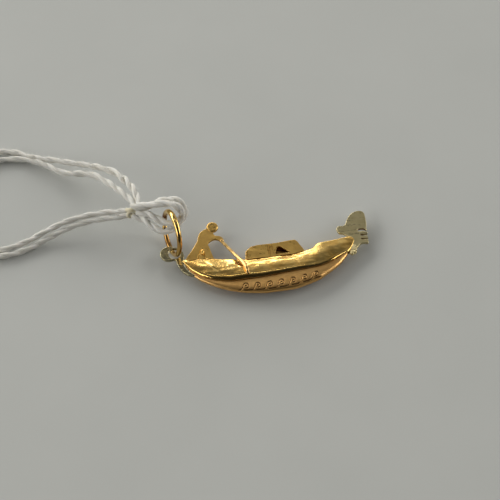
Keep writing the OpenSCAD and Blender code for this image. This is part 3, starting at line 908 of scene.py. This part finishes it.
def make_gondolier():
    thick = thickness_of("gondolier_body")
    shape = Shape().add(*cut_sheet(FIGURE, [], thick, 0.08, MID_Z))
    shape.add_blob((-9.20, 0.60, MID_Z - 0.02), (0.66, 0.95, 0.15), 0.06, 3)
    shape.add_blob((-9.00, 1.15, MID_Z + 0.18), (0.29, 0.44, 0.29), 0.15, 6)
    shape.add_blob((-8.2, -0.25, MID_Z), (0.75, 0.22, 0.30), 0.3, 4)
    shape.add_blob((-10.6, 0.0, MID_Z), (0.85, 0.22, 0.30), 0.3, 5)
    present(shape.piece("gondolier", flat_caps=True), "charm", "figure_gold", "gondolier_body")


def make_head():
    """The head is a thick flat disc with a rounded edge."""
    half = thickness_of("gondolier_head") / 2
    profile = [(0.0, half), (0.5 * HEAD_R, half), (HEAD_R - 0.21, half)]
    profile += [(HEAD_R - 0.20 + 0.20 * math.sin(a), half - 0.20 + 0.20 * math.cos(a))
                for a in np.radians(np.linspace(8, 90, 10))]
    profile += [(r, -z) for r, z in reversed(profile)]
    around = np.radians(np.arange(0, 360, 5))
    rings = [[(HEAD_AT[0] + max(r, 0.002) * math.cos(a) * (1 + 0.012 * math.sin(2 * a)),
               HEAD_AT[1] + max(r, 0.002) * math.sin(a), MID_Z + z) for a in around] for r, z in profile]
    shape = Shape().add(rings, grid_faces(len(rings), len(around), False))
    present(shape.piece("gondolier_head_piece", flat_caps=True), "charm", "figure_gold", "gondolier_head")


OAR = [(-6.1, 2.9, 1.3), (-5.3, 1.4, 1.5), (-4.5, -0.2, 1.8), (-3.9, -1.4, 2.15), (-3.5, -2.4, 2.45),
       (-3.25, -3.3, 2.65), (-3.2, -3.95, 2.66)]


def make_oar():
    path = evenly(catmull_rom(OAR, 0.06), 0.05)
    share = np.linspace(0, 1, len(path))
    width = 0.23 + 0.08 * ramp(0.45, 0.8, share) - 0.10 * ramp(0.9, 1.0, share)
    width *= 1 + np.array([0.05 * noise.noise(Vector((s * 9, 1, 2))) for s in share])
    shape = Shape().add_tube(path, width, 20, flat=0.72)
    shape.add_blob((-3.2, -4.02, 2.56), (0.27, 0.22, 0.15), 0.35, 8)
    shape.add_blob((-6.0, 2.85, 1.32), (0.24, 0.26, 0.22), 0.3, 9)
    # The oar keeps the polished_gold finish and is drawn with a darker copy of it, as painted shade.
    present(shape.piece("oar_piece"), "charm", "polished_gold", "oar", look="oar_painted_shade_gold")


# ---- cabin

CABIN = [(-3.0, -1.2, CORNER), (-2.96, 0.05), (-2.75, 0.35), (-2.3, 0.75), (-1.8, 0.98), (1.6, 1.1),
         (4.05, 1.3),
         (4.35, 1.25), (4.6, 1.0), (4.9, 0.4), (5.35, -0.6), (5.4, -0.85, CORNER), (3.8, -1.15, CORNER),
         (1.2, -1.2, CORNER)]
WINDOW = [(1.6, 0.4, CORNER), (2.0, 0.43, CORNER), (3.3, -0.65, CORNER), (3.25, -0.78, CORNER),
          (1.3, -0.86, CORNER), (1.25, -0.75, CORNER)]
CABIN_WALL = 0.18
# Folds of the curtains: x, and the lower and upper y
FOLDS = [(-1.68, 0.52, 0.99), (0.30, -0.75, 1.04), (0.52, -0.85, 1.05), (0.90, -0.1, 1.07),
         (-0.55, 0.80, 1.02),
         (1.75, 0.85, 1.1), (2.15, 0.88, 1.12), (-2.75, -0.9, 0.3)]
FOLD_W, FOLD_DEPTH = 0.075, 0.06


def boolean_cut(points, faces, cutters):
    """Takes V-shaped cuts out of a solid, worked out in millimetres."""
    def temporary(name, p, f):
        mesh = bpy.data.meshes.new(name)
        mesh.from_pydata([tuple(v) for v in p], [], f)
        return place_in_scene(name, mesh)

    body = temporary("body", points, faces)
    tool_points, tool_faces = [], []
    for p, f in cutters:
        tool_faces += [[len(tool_points) + k for k in face] for face in f]
        tool_points += p
    tool = temporary("tool", tool_points, tool_faces)
    for obj in (body, tool):
        work = bmesh.new()
        work.from_mesh(obj.data)
        bmesh.ops.recalc_face_normals(work, faces=work.faces)
        work.to_mesh(obj.data)
        work.free()
    cut = body.modifiers.new("cut", "BOOLEAN")
    cut.operation = "DIFFERENCE"
    cut.solver = "EXACT"
    cut.object = tool
    done = bpy.data.meshes.new_from_object(body.evaluated_get(bpy.context.evaluated_depsgraph_get()))
    out = mesh_shape(done)
    for obj in (body, tool):
        bpy.data.meshes.remove(obj.data)
    bpy.data.meshes.remove(done)
    return out


def groove(x, low, high, surface, outward):
    """A V-shaped prism that sinks FOLD_DEPTH into a face that looks along +Z or -Z."""
    out, deep = surface + outward * 0.1, surface - outward * FOLD_DEPTH
    wide = FOLD_W * 1.6
    points = [(x - wide, low, out), (x + wide, low, out), (x, low, deep),
              (x - wide + 0.03, high, out), (x + wide + 0.03, high, out), (x + 0.03, high, deep)]
    return points, [(0, 1, 2), (3, 5, 4), (0, 3, 4, 1), (1, 4, 5, 2), (2, 5, 3, 0)]


def make_cabin():
    width = thickness_of("felze_cabin")
    shape = Shape()
    for outward in (1, -1):
        middle = MID_Z + outward * (width - CABIN_WALL) / 2
        face = MID_Z + outward * width / 2
        holes = [WINDOW] if outward > 0 else []
        points, faces = cut_sheet(CABIN, holes, CABIN_WALL, 0.05, middle)
        folds = [groove(x, low, high, face, outward) for x, low, high in FOLDS]
        points, faces = boolean_cut(points, faces, folds)
        points = np.array(points)
        depth = (face - points[:, 2]) * outward
        cut = np.array([any(abs(x - fx) < FOLD_W and low - 0.02 <= y <= high + 0.05
                            for fx, low, high in FOLDS) for x, y in points[:, :2]])
        shape.add(points, faces, dark=np.where(cut & (depth > 0.03), 1.0, 0.0))
    roof = catmull_rom([(x, y, 0) for x, y, *_ in CABIN[:12]], 0.12)
    roof = roof[:, :2]
    along = unit(np.gradient(roof, axis=0))
    inward = np.column_stack([along[:, 1], -along[:, 0]])
    half = width / 2 - 0.05
    rings = []
    for p, n in zip(roof, inward):
        a, b = p + n * 0.015, p + n * (CABIN_WALL + 0.01)
        rings.append([(a[0], a[1], MID_Z - half), (a[0], a[1], MID_Z + half),
                      (b[0], b[1], MID_Z + half), (b[0], b[1], MID_Z - half)])
    shape.add(rings, grid_faces(len(rings), 4, False))
    present(shape.piece("cabin", sharp=40), "charm", "figure_gold", "felze_cabin")


# ---- ring

SEAM = 332.0  # degrees round the ring from its far side
# Painted shade on stretches of the ring: degrees round it, half width in degrees, darkness
SHADED_STRETCHES = [(8, 20, 1.0), (155, 28, 0.6), (285, 35, 0.85)]
SEAM_GAP = 0.9


def make_ring():
    """A bent wire whose two cut ends nearly meet, one a little flattened."""
    one = np.array([-math.sin(RING_TURN), math.cos(RING_TURN), 0])
    up = np.array([math.cos(RING_TURN) * math.sin(RING_LEAN), math.sin(RING_TURN) * math.sin(RING_LEAN),
                   math.cos(RING_LEAN)])
    centre = np.array(RING_MIDDLE)
    angle = np.radians(np.linspace(SEAM + SEAM_GAP, SEAM + 360 - SEAM_GAP, 320))
    wobble = np.array([0.015 * noise.noise(Vector((2 * math.cos(a), 2 * math.sin(a), 6))) for a in angle])
    path = centre + (RING_R + wobble)[:, None] * (np.cos(angle)[:, None] * one + np.sin(angle)[:, None] * up)
    share = np.linspace(0, 1, len(path))
    chamfer = np.sqrt(np.clip(np.minimum(share, 1 - share) / 0.006, 0.35, 1))
    turned = np.degrees(angle) % 360
    radius = WIRE_R * chamfer * (1 + 0.16 * np.exp(-((turned - 80) / 45) ** 2))
    sides = 36
    around = np.arange(sides) * 2 * math.pi / sides
    dents = np.array([[0.012 * noise.noise(Vector((3 * math.cos(a), 3 * math.sin(a), 2 * math.cos(b))))
                       for b in around] for a in angle])
    one_side = np.cos(around - 2.2)[None, :] > 0.2
    pinch = 1 - 0.10 * np.exp(-((share[:, None] - 0.015) / 0.02) ** 2) * one_side
    # Painted shade along the listed stretches of the ring.
    ring_shade = np.zeros(len(path))
    for at, width, darkness in SHADED_STRETCHES:
        away = (turned - at + 180) % 360 - 180
        ring_shade = np.maximum(ring_shade, darkness * np.exp(-(away / width) ** 2))
    shape = Shape().add_tube(path, radius[:, None] * (1 + dents) * pinch, sides, dark=np.repeat(ring_shade, sides))
    present(shape.piece("jump_ring_piece"), "ring", "ring_gold", "jump_ring")


make_ferro()
make_tang()
make_eyelet()
make_gondolier()
make_head()
make_oar()
make_cabin()
make_ring()


# ---- table and light

def make_table():
    mesh = bpy.data.meshes.new("table")
    half = 0.9
    corners = [(-half, -half, 0), (half, -half, 0), (half, half, 0), (-half, half, 0)]
    mesh.from_pydata(corners, [], [(0, 1, 2, 3)])
    table = place_in_scene("table", mesh)
    table.data.materials.append(table_look())


def soft_light(name, place, size, power, colour=(1, 1, 1)):
    """A rectangular lamp that looks at the charm and isn't seen by the camera."""
    lamp = bpy.data.lights.new(name, "AREA")
    lamp.shape = "RECTANGLE"
    lamp.size, lamp.size_y = size
    lamp.energy = power
    lamp.color = colour
    obj = place_in_scene(name, lamp)
    obj.location = place
    obj.rotation_mode = "QUATERNION"
    obj.rotation_quaternion = (-Vector(place)).to_track_quat("-Z", "Y")
    obj.visible_camera = False


def add_ramp(tree, value, low, high, stops):
    """Turns a direction's coordinate into a grey level."""
    remap = tree.nodes.new("ShaderNodeMapRange")
    remap.inputs["From Min"].default_value = low
    remap.inputs["From Max"].default_value = high
    tree.links.new(value, remap.inputs["Value"])
    level = tree.nodes.new("ShaderNodeValToRGB")
    tree.links.new(remap.outputs["Result"], level.inputs["Fac"])
    marks = level.color_ramp.elements
    while len(marks) < len(stops):
        marks.new(0.5)
    for mark, (place, grey) in zip(marks, stops):
        mark.position = place
        mark.color = (grey, grey, grey * 0.98, 1)
    return level.outputs["Color"]


def room():
    """Pale walls behind the charm, and a darker room in front of it"""
    world = bpy.data.worlds.new("room")
    world.use_nodes = True
    tree = world.node_tree
    where = tree.nodes.new("ShaderNodeTexCoord")
    split = tree.nodes.new("ShaderNodeSeparateXYZ")
    tree.links.new(where.outputs["Generated"], split.inputs["Vector"])
    depth = add_ramp(tree, split.outputs["Y"], -1, 1,
                     [(0.0, 0.03), (0.40, 0.06), (0.52, 0.18), (0.70, 0.40), (1.0, 0.55)])
    height = add_ramp(tree, split.outputs["Z"], 0, 1,
                      [(0.0, 0.9), (0.34, 1.0), (0.50, 0.9), (0.66, 0.45), (0.76, 0.22), (0.86, 0.25),
                       (0.94, 0.8), (1.0, 0.8)])
    both = tree.nodes.new("ShaderNodeMix")
    both.data_type = "RGBA"
    both.blend_type = "MULTIPLY"
    both.inputs["Factor"].default_value = 1
    tree.links.new(depth, both.inputs[6])
    tree.links.new(height, both.inputs[7])
    tree.links.new(both.outputs[2], tree.nodes["Background"].inputs["Color"])
    bpy.context.scene.world = world


def make_light():
    soft_light("left_window", (-0.57, 0.73, 0.42), (1.35, 0.40), 8.5, (1.0, 0.99, 0.96))
    soft_light("left_wall", (-0.95, -0.25, 0.40), (0.90, 0.50), 4.5, (1.0, 0.99, 0.97))
    soft_light("right_wall", (0.95, 0.05, 0.40), (1.00, 0.50), 5.5, (1.0, 0.99, 0.97))
    soft_light("low_window", (0.10, 1.10, 0.20), (1.10, 0.12), 1.8, (1.0, 0.98, 0.94))
    soft_light("skylight", (-0.05, 0.33, 0.95), (0.60, 0.03), 0.24, (1.0, 0.99, 0.96))
    room()
    bpy.context.scene.view_settings.view_transform = "Standard"


make_table()
make_light()
